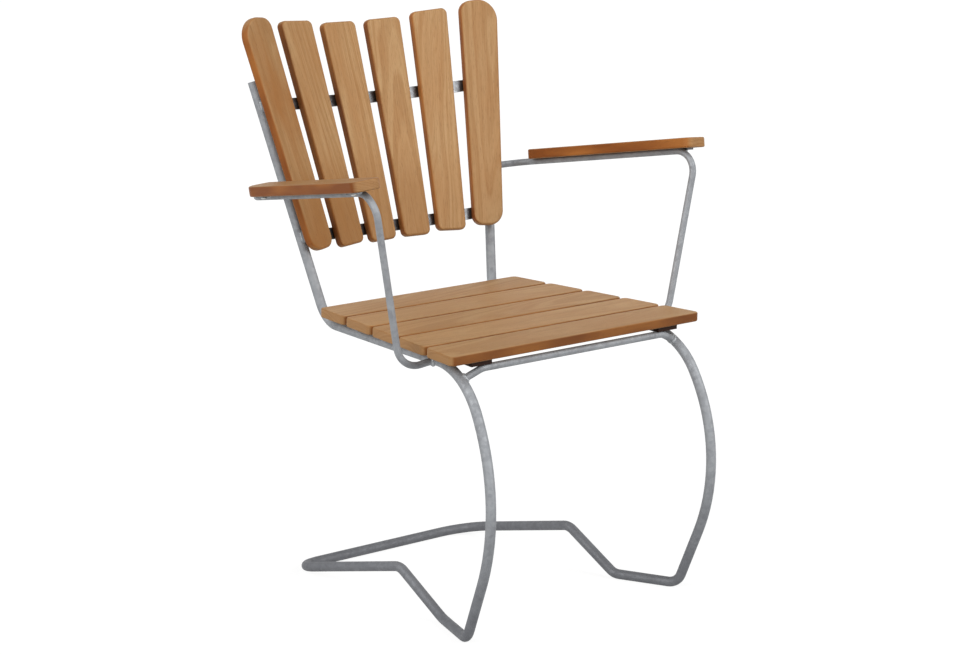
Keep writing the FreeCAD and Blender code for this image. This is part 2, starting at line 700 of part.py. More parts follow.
def armrest():
    """Armrest in the arm rod's own frame: X outwards, Y to the rear, Z up."""
    body = doc.addObject("PartDesign::Body", "armrest")
    inner = "(armrest_shift - armrest_width / 2)"
    outer = "(armrest_shift + armrest_width / 2)"
    corners = [(inner, "armrest_end"), (outer, "armrest_end"), (outer, ARM_REAR), (inner, ARM_REAR)]
    plan = outline(body, "XY_Plane", corners, offset=ARM_UNDERSIDE)
    feature = pad(body, plan, "armrest_thickness")
    radii = ["armrest_front_corner", "armrest_front_corner", "armrest_rear_outer",
             "armrest_rear_inner"]
    feature = round_corners(body, feature, UP, corners, radii)
    bottom = value(ARM_UNDERSIDE)
    top = value(f"{ARM_UNDERSIDE} + armrest_thickness")
    faces = edges_at(feature.Shape, UP, bottom) + edges_at(feature.Shape, UP, top)
    soften(body, feature, faces, "armrest_edge")
    groove = circles(body, "XZ_Plane", [("0", "0")], "arm_rod_diameter / 2 + joint_gap", "groove")
    pocket(body, groove, f"2 * ({ARM_REAR} + armrest_start)", through=True)
    holes = [(LUG_SCREW, station) for station in LUG_STATIONS]
    pilots = circles(body, "XY_Plane", holes, PILOT_RADIUS, "pilots", ARM_UNDERSIDE)
    pocket(body, pilots, PILOT_DEPTH, reverse=True)
    body.Placement = arm_place
    return body


def arm_point(across, along, above):
    """Point in the arm rod's own frame, given by sheet expressions."""
    return arm_place.multVec(Vector(value(across), value(along), value(above)))


def lug(station):
    """Flat lug welded to the outer side of the rod, drilled for its screw."""
    plate = doc.addObject("Part::Box", "lug_plate")
    bind(plate, "Length", "tab_reach")
    bind(plate, "Width", "tab_length")
    bind(plate, "Height", "tab_thickness")
    low = f"{ARM_UNDERSIDE} - joint_gap - tab_thickness"
    plate.Placement = Placement(arm_point("0", f"{station} - tab_length / 2", low),
                                arm_place.Rotation)
    rod_space = cylinder("lug_rod_space", arm_point("0", f"{station} - tab_length", "0"),
                         arm_line, "arm_rod_diameter / 2 + joint_gap", "2 * tab_length")
    hole = cylinder("lug_hole", arm_point(LUG_SCREW, station, f"{low} - tab_thickness"),
                    arm_up, HOLE_RADIUS, "3 * tab_thickness")
    return cut(cut(plate, rod_space, "lug_coped"), hole, "lug_drilled")


armrest_left = keep(armrest(), "armrest_left")
mirrored(armrest_left, "armrest_right")
lugs = doc.addObject("Part::Compound", "lugs")
lugs.Links = [lug(station) for station in LUG_STATIONS]
keep(lugs, "armrest_lugs_left")
mirrored(lugs, "armrest_lugs_right")

# Screws: one turned pan-head pattern per grip length, repeated at its places


def screw_pattern(grip, name, bite):
    """Pan-head screw, its Z pointing along its thread and Z = 0 under its head."""
    body = doc.addObject("PartDesign::Body", name)
    tip = f"({grip} + {bite})"
    head = "screw_head_diameter / 2"
    profile = [("0", "-screw_head_height"), ("0.6 * screw_head_diameter / 2", "-screw_head_height"),
               (head, "-0.5 * screw_head_height"), (head, "0"), (SCREW_RADIUS, "0"),
               (SCREW_RADIUS, f"{tip} - screw_diameter / 2"), ("0", tip)]
    turning = body.newObject("PartDesign::Revolution", "turning")
    turning.Profile = outline(body, "XZ_Plane", profile)
    axis = [item for item in body.Origin.OriginFeatures if item.Role == "Z_Axis"][0]
    turning.ReferenceAxis = (axis, [""])
    turning.Angle = 360
    doc.recompute()
    return body


def screws(places, grip, name, bite="screw_bite"):
    """All screws of one kind as one node of separate solids."""
    pattern = screw_pattern(grip, f"{name}_pattern", bite)
    copies = []
    for place in places:
        copy = pattern.Shape.copy()
        copy.Placement = place
        copies.append(copy)
    return keep(solids(copies, f"{name}_group"), name)


screws(back_screw_places, "back_bar_thickness + 2 * board_seat_gap", "back_slat_screws")

seat_screw_places = [Placement(seat_point(f"{side} * {batten_centre(middle)}", middle,
                                          f"{BATTEN_BOTTOM} + joint_gap"), seat_place.Rotation)
                     for side in (1, -1) for middle in board_middles]
screws(seat_screw_places, "batten_thickness", "seat_slat_screws")

BATTEN_GRIP = f"(batten_thickness - {HEAD_DEPTH} + joint_gap)"
batten_screw_places = [Placement(seat_point(batten_fixing(side, depth), depth,
                                            f"board_thickness + joint_gap + {HEAD_DEPTH}"),
                                 seat_place.Rotation * Rotation(EAST, 180))
                       for side in (1, -1) for depth in (FRONT_CROSS_DEPTH, REAR_CROSS_DEPTH)]
screws(batten_screw_places, BATTEN_GRIP, "batten_screws", "rod_bite")

left_lug_places = [Placement(arm_point(LUG_SCREW, station, f"{ARM_UNDERSIDE} - tab_thickness"
                                       " - 2 * joint_gap"), arm_place.Rotation)
                   for station in LUG_STATIONS]
left_lug_screws = screws(left_lug_places, "tab_thickness", "armrest_screws_left")
mirrored(left_lug_screws, "armrest_screws_right")

# Checks and export

doc.recompute()
for item in doc.Objects:
    if "Invalid" in item.State or "Error" in item.State:
        raise RuntimeError(f"{item.Name} failed: {item.State}")
for item in PARTS:
    if item.Shape.isNull() or not item.Shape.isValid():
        raise RuntimeError(f"{item.Label} has no valid shape")

os.makedirs("parts", exist_ok=True)
for item in PARTS:
    item.Shape.exportStep(f"parts/{item.Label}.step")
    box = item.Shape.BoundBox
    print(f"{item.Label}: {len(item.Shape.Solids)} solids, {item.Shape.Volume / 1000:.1f} cm3, "
          f"{box.XLength:.0f} x {box.YLength:.0f} x {box.ZLength:.0f}")
whole = Part.makeCompound([item.Shape for item in PARTS]).BoundBox
print(f"x {whole.XMin:.1f}..{whole.XMax:.1f}  y {whole.YMin:.1f}..{whole.YMax:.1f}  "
      f"z {whole.ZMin:.1f}..{whole.ZMax:.1f}")
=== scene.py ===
"""Dress the packed garden armchair: oiled teak boards, galvanised rods with their weld beads,
dark battens, zinc-plated screws, and a plain studio round them.

Lengths are metres in the chair's own frame: it faces -Y, +X is the sitter's left, and the
floor is Z = 0."""

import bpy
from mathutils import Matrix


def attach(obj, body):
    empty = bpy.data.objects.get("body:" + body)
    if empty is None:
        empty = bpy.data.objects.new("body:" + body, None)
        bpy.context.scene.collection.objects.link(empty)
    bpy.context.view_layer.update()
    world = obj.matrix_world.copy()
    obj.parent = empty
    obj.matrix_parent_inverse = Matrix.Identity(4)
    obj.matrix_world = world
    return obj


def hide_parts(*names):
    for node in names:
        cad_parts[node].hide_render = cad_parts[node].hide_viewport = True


bl_info = {
    "name": "Sprung garden armchair",
    "version": (1, 0, 0),
    "blender": (4, 5, 0),
    "location": "3D View > Sidebar > Garden chair",
    "description": "Finishes, weld beads, screws and studio for a sprung garden armchair",
    "category": "Add Mesh",
}

import math
import random

import bmesh
import bpy
import numpy as np
from bpy.props import FloatProperty, FloatVectorProperty, PointerProperty
from mathutils import Matrix, Vector

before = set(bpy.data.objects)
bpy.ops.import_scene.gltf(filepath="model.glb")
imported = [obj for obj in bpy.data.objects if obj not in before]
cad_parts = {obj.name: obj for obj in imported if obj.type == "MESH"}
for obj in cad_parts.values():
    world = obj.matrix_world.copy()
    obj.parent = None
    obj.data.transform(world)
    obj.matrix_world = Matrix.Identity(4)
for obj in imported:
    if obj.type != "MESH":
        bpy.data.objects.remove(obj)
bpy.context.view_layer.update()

MM = 0.001
WHITE = (1, 1, 1, 1)

SEAT_BOARDS = [f"seat_slat_{number}" for number in range(1, 6)]
BACK_BOARDS = [f"back_slat_{number}" for number in range(1, 7)]
ARMRESTS = ["armrest_left", "armrest_right"]
BATTENS = ["seat_batten_left", "seat_batten_right"]
RODS = ["main_frame", "arm_rod_left", "arm_rod_right", "front_cross_rod", "rear_cross_rod"]
FLAT_STEEL = ["lower_back_bar", "upper_back_bar", "armrest_lugs_left", "armrest_lugs_right"]
SCREW_NODES = ["back_slat_screws", "seat_slat_screws", "batten_screws", "armrest_screws_left",
               "armrest_screws_right"]

# How light each board is, partly its own timber and partly painted shade on the boards that turn
# from the lamps, how red it is, how light its sawn edges are, and how much painted shade browns
# its low end.
TIMBER = {
    "seat_slat_1": (0.87, 0.6, 0.67, 0), "seat_slat_2": (0.94, 0.5, 0.68, 0),
    "seat_slat_3": (0.9, 0.6, 0.68, 0), "seat_slat_4": (0.95, 0.5, 0.68, 0),
    "seat_slat_5": (0.91, 0.6, 0.68, 0), "back_slat_1": (0.93, 0.6, 1.0, 0.05),
    "back_slat_2": (1.0, 0.5, 1.0, 0.15), "back_slat_3": (1.0, 0.5, 0.9, 0.4),
    "back_slat_4": (0.99, 0.6, 0.75, 0.45), "back_slat_5": (0.94, 0.8, 0.7, 0.6),
    "back_slat_6": (0.87, 1.3, 1.02, 0.4), "armrest_left": (0.8, 1.0, 1.02, 0),
    "armrest_right": (0.77, 1.1, 0.88, 0),
}

# Mix node sockets of its colour mode, which share their names with the other modes.
MIX_FACTOR, MIX_A, MIX_B, MIX_RESULT = 0, 6, 7, 2

# How far the gloss of wood and zinc swings to either side of its setting.
GLOSS_SWING = 0.08


def linear(colour):
    """Linear RGBA of an sRGB hex colour."""
    channels = [int(colour[start:start + 2], 16) / 255 for start in (1, 3, 5)]
    return [c / 12.92 if c <= 0.04045 else ((c + 0.055) / 1.055) ** 2.4 for c in channels] + [1]


def add(tree, kind, sockets=None, **settings):
    """Add a shader node with its settings; sockets take a number or another node's output."""
    node = tree.nodes.new(kind)
    for name, setting in settings.items():
        setattr(node, name, setting)
    for socket, source in (sockets or {}).items():
        if isinstance(source, bpy.types.NodeSocket):
            tree.links.new(source, node.inputs[socket])
        else:
            node.inputs[socket].default_value = source
    return node


def new_material(name):
    """Empty node material and its tree."""
    material = bpy.data.materials.new(name)
    material.use_nodes = True
    material.node_tree.nodes.clear()
    return material, material.node_tree


def dress(node, material):
    """Give a CAD node its material."""
    node.data.materials.clear()
    node.data.materials.append(material)


def scaled(colour, factor):
    """A colour made lighter or darker."""
    return [channel * factor for channel in colour[:3]] + [1]


# Wood

# Each pattern's scale along the grain, across it and through the board. The first is small
# because all of them run on along the grain.
WANDER_SCALE = (0.12, 1, 1)
FIBRE_SCALE = (0.015, 1, 1)
PORE_SCALE = (0.07, 1, 1)
CLOUD_SCALE = (0.3, 1, 1)
STAIN_SCALE = (0.04, 1, 1)
FROM_PITH = (0, 1, 1)

# How far under a board's middle its log's pith may lie and how far aside, how far the pith may
# tilt and swing from the board's length, and how far along the log a board may start.
PITH_DEPTH = (0.06, 0.14)
PITH_ASIDE = 0.04
PITH_TILT, PITH_SWING = 0.035, 0.05
LOG_START = 5

# Cosines to the board's face, where the sawn edge's colour begins and where it is full, and to its
# length for the end grain. The sawn edge's colour starts on the rounded edge, painted shade that
# darkens the gaps between boards.
SAWN_AND_SHADE_BEGINS, SAWN_AND_SHADE_FULL = 0.93, 0.5
END_BEGINS, END_FULL = 0.45, 0.85

# Where the painted shade on a back board's low end begins and where it is full, from the board's
# middle.
LOW_SHADE_BEGINS, LOW_SHADE_FULL = -20 * MM, -130 * MM

# A board's length is taken to point to the sitter's left, back or up, and its face front or up.
LEFT_BACK_UP = Vector((1, 0.3, 0.5))
FRONT_UP = Vector((0, -0.5, 1))

TIMBER_IOR = 1.5
OILED_SPECULAR = 0.16
STAINED_SPECULAR = 0.15
STAINED_ROUGHNESS = 0.6
PORE_DEPTH = 0.15 * MM
SAWN_DEPTH = 0.2 * MM


def board_axes(node):
    """Centre of a board, and its own axes as a matrix's rows: along the grain, across, through."""
    mesh = node.data
    centres = np.array([face.center for face in mesh.polygons])
    areas = np.array([face.area for face in mesh.polygons])[:, None]
    middle = (centres * areas).sum(0) / areas.sum()
    offsets = centres - middle
    vectors = np.linalg.eigh((offsets * areas).T @ offsets)[1]
    along = Vector(vectors[:, 2])
    through = Vector(vectors[:, 0])
    if along.dot(LEFT_BACK_UP) < 0:
        along.negate()
    if through.dot(FRONT_UP) < 0:
        through.negate()
    return Vector(middle), Matrix((along, through.cross(along), through))


def board_coordinates(tree, node):
    """The surface's direction, a board's own axes, and the mapping into them."""
    middle, axes = board_axes(node)
    place = add(tree, "ShaderNodeTexCoord").outputs
    own = add(tree, "ShaderNodeMapping", {
        "Vector": place["Object"],
        "Rotation": axes.to_euler(),
        "Location": -(axes @ middle),
    }).outputs[0]
    return place["Normal"], axes, own


def log_coordinates(tree, own, draw):
    """Mapping from a board into the log it was sawn from, whose pith is the X axis."""
    depth = draw.uniform(*PITH_DEPTH)
    return add(tree, "ShaderNodeMapping", {
        "Vector": own,
        "Rotation": (0, draw.uniform(-PITH_TILT, PITH_TILT),
                     draw.uniform(-PITH_SWING, PITH_SWING)),
        "Location": (draw.uniform(-LOG_START, LOG_START),
                     draw.uniform(-PITH_ASIDE, PITH_ASIDE), depth),
    }).outputs[0]


def teak_grain(tree, own, log, settings):
    """Patterns of sawn teak: growth rings, fibres, pores, and clouds of warmer wood.

    Noise keeps near 0.5, so whatever uses it stretches the middle of its range."""
    # The rings of the log give long lines that run together on the board's face.
    wander = add(tree, "ShaderNodeTexNoise", {
        "Vector": add(tree, "ShaderNodeVectorMath", {0: log, 1: WANDER_SCALE},
                      operation="MULTIPLY").outputs[0],
        "Scale": 1 / settings.wander, "Detail": 2}).outputs[0]
    radius = add(tree, "ShaderNodeVectorMath", {
        0: add(tree, "ShaderNodeVectorMath", {0: log, 1: FROM_PITH},
               operation="MULTIPLY").outputs[0]}, operation="LENGTH").outputs["Value"]
    bent = add(tree, "ShaderNodeMath", {0: wander, 1: settings.wander_depth, 2: radius},
               operation="MULTIPLY_ADD").outputs[0]
    rings = add(tree, "ShaderNodeTexNoise", {
        "W": add(tree, "ShaderNodeMath", {0: bent, 1: settings.ring_spacing},
                 operation="DIVIDE").outputs[0],
        "Scale": 1, "Detail": 3, "Roughness": 0.6}, noise_dimensions="1D").outputs[0]

    # Fibres and open pores, drawn two or three times as coarse as they are so that they show.
    fibres = add(tree, "ShaderNodeTexNoise", {
        "Vector": add(tree, "ShaderNodeVectorMath", {0: own, 1: FIBRE_SCALE},
                      operation="MULTIPLY").outputs[0],
        "Scale": 1 / settings.fibre_width, "Detail": 3, "Roughness": 0.6}).outputs[0]
    pores = add(tree, "ShaderNodeMapRange", {
        "Value": add(tree, "ShaderNodeTexNoise", {
            "Vector": add(tree, "ShaderNodeVectorMath", {0: own, 1: PORE_SCALE},
                          operation="MULTIPLY").outputs[0],
            "Scale": 1 / settings.pore_width, "Detail": 1}).outputs[0],
        "From Min": 0.6, "From Max": 0.72}).outputs[0]
    cloud = add(tree, "ShaderNodeTexNoise", {
        "Vector": add(tree, "ShaderNodeVectorMath", {0: log, 1: CLOUD_SCALE},
                      operation="MULTIPLY").outputs[0],
        "Scale": 1 / settings.cloud_size, "Detail": 2}).outputs[0]
    return rings, fibres, pores, cloud


def oiled_teak(node, settings, seed):
    """Teak, planed, sanded and oiled: tan faces with fine straight grain, browner sawn edges, and
    painted shade on the rounded edges by the gaps, on the back boards' low ends and on the boards
    that turn from the lamps.
    """
    tone, redness, edge_tone, low_end_shading = TIMBER[node.name]
    material, tree = new_material(f"oiled_teak_{node.name}")
    normal, axes, own = board_coordinates(tree, node)
    log = log_coordinates(tree, own, random.Random(seed))
    rings, fibres, pores, cloud = teak_grain(tree, own, log, settings)

    # Faces: the rings, then pale fibres, then warmer clouds, all scaled by the board's lightness,
    # which holds painted shade as well as its own tone.
    late_or_early = add(tree, "ShaderNodeMapRange", {
        "Value": rings, "From Min": 0.3, "From Max": 0.7},
        interpolation_type="SMOOTHSTEP").outputs[0]
    face = add(tree, "ShaderNodeMix", {
        MIX_FACTOR: late_or_early, MIX_A: scaled(settings.late_wood, tone),
        MIX_B: scaled(settings.early_wood, tone)}, data_type="RGBA").outputs[MIX_RESULT]
    streak = add(tree, "ShaderNodeMapRange", {
        "Value": fibres, "From Min": 0.45, "From Max": 0.75, "To Max": 0.55}).outputs[0]
    face = add(tree, "ShaderNodeMix", {
        MIX_FACTOR: streak, MIX_A: face, MIX_B: scaled(settings.pale_streak, tone)},
        data_type="RGBA").outputs[MIX_RESULT]
    warm = add(tree, "ShaderNodeMapRange", {
        "Value": cloud, "From Min": 0.35, "From Max": 0.7, "To Min": 0.2 * redness,
        "To Max": 0.8 * redness}).outputs[0]
    face = add(tree, "ShaderNodeMix", {
        MIX_FACTOR: warm, MIX_A: face, MIX_B: scaled(settings.warm_patch, tone)},
        data_type="RGBA").outputs[MIX_RESULT]

    # Painted shade: a back board's low end is drawn browner, for the shade that falls there.
    along = add(tree, "ShaderNodeSeparateXYZ", {0: own}).outputs["X"]
    low_shade = add(tree, "ShaderNodeMapRange", {
        "Value": along, "From Min": LOW_SHADE_BEGINS, "From Max": LOW_SHADE_FULL,
        "To Max": low_end_shading}, interpolation_type="SMOOTHSTEP").outputs[0]
    face = add(tree, "ShaderNodeMix", {
        MIX_FACTOR: low_shade, MIX_A: face, MIX_B: settings.low_end_shade},
        data_type="RGBA").outputs[MIX_RESULT]

    # The sawn edges and the ends drink more oil than the faces. The darker edge colour also covers
    # the rounded edges, painted shade for the gaps between boards.
    facing = [add(tree, "ShaderNodeMath", {
        0: add(tree, "ShaderNodeVectorMath", {0: normal, 1: axis},
               operation="DOT_PRODUCT").outputs["Value"]}, operation="ABSOLUTE").outputs[0]
        for axis in axes]
    edge = add(tree, "ShaderNodeMapRange", {
        "Value": facing[2], "From Min": SAWN_AND_SHADE_BEGINS, "From Max": SAWN_AND_SHADE_FULL,
        "To Max": 0.95}).outputs[0]
    cloud_tone = add(tree, "ShaderNodeMapRange", {
        "Value": cloud, "From Min": 0.38, "From Max": 0.62}).outputs[0]
    sawn = add(tree, "ShaderNodeMix", {
        MIX_FACTOR: cloud_tone, MIX_A: scaled(settings.edge_dark, edge_tone),
        MIX_B: scaled(settings.edge_light, edge_tone)},
        data_type="RGBA").outputs[MIX_RESULT]
    surface = add(tree, "ShaderNodeMix", {MIX_FACTOR: edge, MIX_A: face, MIX_B: sawn},
                  data_type="RGBA").outputs[MIX_RESULT]
    end = add(tree, "ShaderNodeMapRange", {
        "Value": facing[0], "From Min": END_BEGINS, "From Max": END_FULL,
        "To Max": 0.8}).outputs[0]
    end_tone = add(tree, "ShaderNodeMix", {
        MIX_FACTOR: rings, MIX_A: settings.end_dark, MIX_B: settings.end_light},
        data_type="RGBA").outputs[MIX_RESULT]
    surface = add(tree, "ShaderNodeMix", {MIX_FACTOR: end, MIX_A: surface, MIX_B: end_tone},
                  data_type="RGBA").outputs[MIX_RESULT]
    dark_pores = add(tree, "ShaderNodeMath", {0: pores, 1: settings.pore_strength},
                     operation="MULTIPLY").outputs[0]
    colour = add(tree, "ShaderNodeMix", {
        MIX_FACTOR: dark_pores, MIX_A: surface, MIX_B: settings.pore_colour},
        data_type="RGBA").outputs[MIX_RESULT]

    height = add(tree, "ShaderNodeMath", {0: pores, 1: -1.0, 2: fibres},
                 operation="MULTIPLY_ADD").outputs[0]
    relief = add(tree, "ShaderNodeBump", {
        "Height": height, "Strength": 0.5, "Distance": PORE_DEPTH}).outputs[0]
    roughness = add(tree, "ShaderNodeMapRange", {
        "Value": fibres, "To Min": settings.roughness - GLOSS_SWING,
        "To Max": settings.roughness + GLOSS_SWING}).outputs[0]
    shader = add(tree, "ShaderNodeBsdfPrincipled", {
        "Base Color": colour, "Roughness": roughness, "Normal": relief, "IOR": TIMBER_IOR,
        "Specular IOR Level": OILED_SPECULAR})
    add(tree, "ShaderNodeOutputMaterial", {"Surface": shader.outputs[0]})
    return material


def stained_hardwood(node, settings):
    """Hardwood strip, sawn and stained dark: nearly black-brown with faint grain."""
    material, tree = new_material(f"stained_hardwood_{node.name}")
    own = board_coordinates(tree, node)[-1]
    fibres = add(tree, "ShaderNodeTexNoise", {
        "Vector": add(tree, "ShaderNodeVectorMath", {0: own, 1: STAIN_SCALE},
                      operation="MULTIPLY").outputs[0],
        "Scale": 1 / settings.fibre_width, "Detail": 3}).outputs[0]
    colour = add(tree, "ShaderNodeMix", {
        MIX_FACTOR: fibres, MIX_A: settings.stain_dark, MIX_B: settings.stain_light},
        data_type="RGBA").outputs[MIX_RESULT]
    relief = add(tree, "ShaderNodeBump", {
        "Height": fibres, "Strength": 0.6, "Distance": SAWN_DEPTH}).outputs[0]
    shader = add(tree, "ShaderNodeBsdfPrincipled", {
        "Base Color": colour, "Roughness": STAINED_ROUGHNESS, "Normal": relief,
        "IOR": TIMBER_IOR, "Specular IOR Level": STAINED_SPECULAR})
    add(tree, "ShaderNodeOutputMaterial", {"Surface": shader.outputs[0]})
    return material


# Steel

# The zinc is darkest at this height and below, and there this much of the low colour is mixed in.
DARKEST_HEIGHT = 20 * MM
LOW_SHARE = 0.75
GRIT_DEPTH = 0.1 * MM
RIPPLE_DEPTH = 0.2 * MM
WELD_SMOOTHER = 0.1
PLATE_ROUGHNESS = (0.25, 0.42)


def galvanised_steel(settings, name, metallic, gloss, tone):
    """Steel, hot-dip galvanised and weathered: dull grey with spangle, darker by the floor."""
    material, tree = new_material(name)
    place = add(tree, "ShaderNodeTexCoord").outputs["Object"]
    spangle = add(tree, "ShaderNodeSeparateColor", {
        0: add(tree, "ShaderNodeTexVoronoi", {
            "Vector": place, "Scale": 1 / settings.spangle_size}).outputs["Color"]}).outputs[0]
    cloud = add(tree, "ShaderNodeTexNoise", {
        "Vector": place, "Scale": 1 / settings.bloom_size, "Detail": 4,
        "Roughness": 0.6}).outputs[0]
    bloom = add(tree, "ShaderNodeMapRange", {
        "Value": cloud, "From Min": 0.38, "From Max": 0.68}).outputs[0]
    # tone scales the whole coat; on the flat bars it is painted shade.
    coat = add(tree, "ShaderNodeMix", {
        MIX_FACTOR: bloom, MIX_A: scaled(settings.zinc_dark, tone),
        MIX_B: scaled(settings.zinc_light, tone)},
        data_type="RGBA").outputs[MIX_RESULT]
    facets = add(tree, "ShaderNodeMapRange", {
        "Value": spangle, "To Max": settings.spangle_strength}).outputs[0]
    coat = add(tree, "ShaderNodeMix", {
        MIX_FACTOR: facets, MIX_A: coat, MIX_B: scaled(settings.zinc_bright, tone)},
        data_type="RGBA").outputs[MIX_RESULT]
    height = add(tree, "ShaderNodeSeparateXYZ", {0: place}).outputs["Z"]
    low_darkening = add(tree, "ShaderNodeMapRange", {
        "Value": height, "From Min": settings.darkening_height, "From Max": DARKEST_HEIGHT,
        "To Max": LOW_SHARE}).outputs[0]
    colour = add(tree, "ShaderNodeMix", {
        MIX_FACTOR: low_darkening, MIX_A: coat, MIX_B: settings.zinc_low},
        data_type="RGBA").outputs[MIX_RESULT]
    grit = add(tree, "ShaderNodeTexNoise", {
        "Vector": place, "Scale": 1 / settings.grit_size, "Detail": 2}).outputs[0]
    relief = add(tree, "ShaderNodeBump", {
        "Height": grit, "Strength": 0.4, "Distance": GRIT_DEPTH}).outputs[0]
    roughness = add(tree, "ShaderNodeMapRange", {
        "Value": spangle, "To Min": gloss + GLOSS_SWING,
        "To Max": gloss - GLOSS_SWING}).outputs[0]
    shader = add(tree, "ShaderNodeBsdfPrincipled", {
        "Base Color": colour, "Metallic": metallic, "Roughness": roughness, "Normal": relief})
    add(tree, "ShaderNodeOutputMaterial", {"Surface": shader.outputs[0]})
    return material


def weld_zinc(settings):
    """Weld bead under zinc: smoother, thicker and brighter than the rod."""
    material, tree = new_material("galvanised_weld")
    place = add(tree, "ShaderNodeTexCoord").outputs["Object"]
    cloud = add(tree, "ShaderNodeTexNoise", {
        "Vector": place, "Scale": 1 / (2 * settings.grit_size), "Detail": 3}).outputs[0]
    colour = add(tree, "ShaderNodeMix", {
        MIX_FACTOR: cloud, MIX_A: settings.zinc_dark, MIX_B: settings.zinc_bright},
        data_type="RGBA").outputs[MIX_RESULT]
    relief = add(tree, "ShaderNodeBump", {
        "Height": cloud, "Strength": 0.4, "Distance": RIPPLE_DEPTH}).outputs[0]
    shader = add(tree, "ShaderNodeBsdfPrincipled", {
        "Base Color": colour, "Metallic": settings.metallic,
        "Roughness": settings.roughness - WELD_SMOOTHER, "Normal": relief})
    add(tree, "ShaderNodeOutputMaterial", {"Surface": shader.outputs[0]})
    return material


def zinc_plate(settings):
    """Wood screw, steel, zinc plated: pale and smooth with a fine mottle."""
    material, tree = new_material("zinc_plated_screw")
    place = add(tree, "ShaderNodeTexCoord").outputs["Object"]
    mottle = add(tree, "ShaderNodeTexNoise", {
        "Vector": place, "Scale": 1 / settings.grit_size, "Detail": 2}).outputs[0]
    colour = add(tree, "ShaderNodeMix", {
        MIX_FACTOR: mottle, MIX_A: settings.plate_dark, MIX_B: settings.plate_light},
        data_type="RGBA").outputs[MIX_RESULT]
    roughness = add(tree, "ShaderNodeMapRange", {
        "Value": mottle, "To Min": PLATE_ROUGHNESS[0],
        "To Max": PLATE_ROUGHNESS[1]}).outputs[0]
    shader = add(tree, "ShaderNodeBsdfPrincipled", {
        "Base Color": colour, "Metallic": 1.0, "Roughness": roughness})
    add(tree, "ShaderNodeOutputMaterial", {"Surface": shader.outputs[0]})
    return material


# Weld beads

# Each rod that ends on the main rod: a point on its own axis and the way it leaves the joint,
# then a point on the main rod's axis and that axis, its own radius, and the bead's radius. All
# places and sizes down to the lugs' beads are the left side's, in millimetres.
ROD_JOINTS = {
    "weld_beads_arm_rods": [
        ((214.11, 219.02, 640.55), (1, 0, 0), (214.11, 219.02, 640.55), (0.169, 0.244, 0.955),
         5.5, 2.2),
        ((215.96, -149.16, 428.12), (0.990, 0.069, -0.123), (215.96, -149.16, 428.12),
         (0.122, -0.992, -0.014), 5.5, 3.4),
    ],
    "weld_beads_cross_rods": [
        ((224.61, -219.6, 409.43), (-0.892, -0.204, 0.403), (224.61, -219.6, 409.43),
         (0.103, -0.839, -0.535), 5.75, 2.6),
        ((182.25, 125.4, 434.47), (-1, 0, 0), (182.25, 125.4, 431.98), (0.122, -0.992, -0.014),
         5.75, 2.4),
    ],
}
MAIN_RADIUS = 8

# Each back bar's seat on an upright: the upright's centre there, the way from the bar to the
# upright, and the way outwards along the bar.
BAR_JOINTS = [
    ((201.27, 200.52, 568.07), (0.237, 0.931, -0.276), (0.972, -0.228, 0.067)),
    ((238.19, 253.73, 776.55), (0.267, 0.924, -0.274), (0.964, -0.256, 0.076)),
]
UPRIGHT = (0.169, 0.244, 0.955)

# The two beads of a bar: radius, how far to either side of the upright's centre, how far in from
# its skin, and half their length.
BAR_BEAD_RADIUS, BAR_BEAD_ASIDE, BAR_BEAD_SINK, BAR_BEAD_HALF = 1.9, 5.6, 1.2, 8

# The arm rod's front corner, the ways outwards and back along it, and how far back each lug is.
ARM_FRONT = (338, -153.6, 698.5)
ARM_OUT = (0.9885, 0.1243, -0.0861)
ARM_BACK = (-0.1363, 0.9789, -0.1522)
LUG_STATIONS = [312.65, 34.5]

# A lug's bead: radius, how far outwards and up from the rod's centre, and half its length.
LUG_BEAD_RADIUS, LUG_BEAD_OUT, LUG_BEAD_UP, LUG_BEAD_HALF = 1.5, 5.8, 0.6, 10

BEAD_SIDES = 12
JOINT_POINTS = 72
# How much each frozen drop swells and scatters, and how far the bead runs in a radian of its
# swelling, all over the bead's radius.
DROP_SWELL, DROP_SCATTER, DROP_PACE = 0.12, 0.05, 0.7
# The points at each end of an open bead over which it rounds off.
ROUNDED_POINTS = 3


def bead_rows(line, radius, draw, closed):
    """Rings of points round a weld bead's line, swollen where each drop of metal froze."""
    rows = []
    count = len(line)
    travelled = 0
    for index, point in enumerate(line):
        before = line[index - 1] if closed or index else line[0]
        after = line[(index + 1) % count] if closed or index < count - 1 else line[-1]
        tangent = (after - before).normalized()
        side = tangent.orthogonal().normalized()
        other = tangent.cross(side)
        travelled += (point - before).length
        drop = (1 + DROP_SWELL * math.sin(travelled / (DROP_PACE * radius))
                + draw.uniform(-DROP_SCATTER, DROP_SCATTER))
        from_end = 0.5 + min(index, count - 1 - index)
        taper = 1 if closed else min(1, from_end / ROUNDED_POINTS) ** 0.5
        rows.append([point + (side * math.cos(turn) + other * math.sin(turn))
                     * radius * drop * taper
                     for turn in (math.tau * step / BEAD_SIDES for step in range(BEAD_SIDES))])
    return rows


def add_bead(made, line, radius, draw, closed):
    """Add a bead along a line of points, closed on itself or with rounded ends."""
    rows = bead_rows(line, radius, draw, closed)
    rings = [[made.verts.new(point) for point in row] for row in rows]
    pairs = list(zip(rings, rings[1:] + rings[:1]))
    if not closed:
        pairs = pairs[:-1]
        made.faces.new(rings[0][::-1])
        made.faces.new(rings[-1])
    for ring, following in pairs:
        for step in range(len(ring)):
            ahead = (step + 1) % len(ring)
            made.faces.new((ring[step], ring[ahead], following[ahead], following[step]))


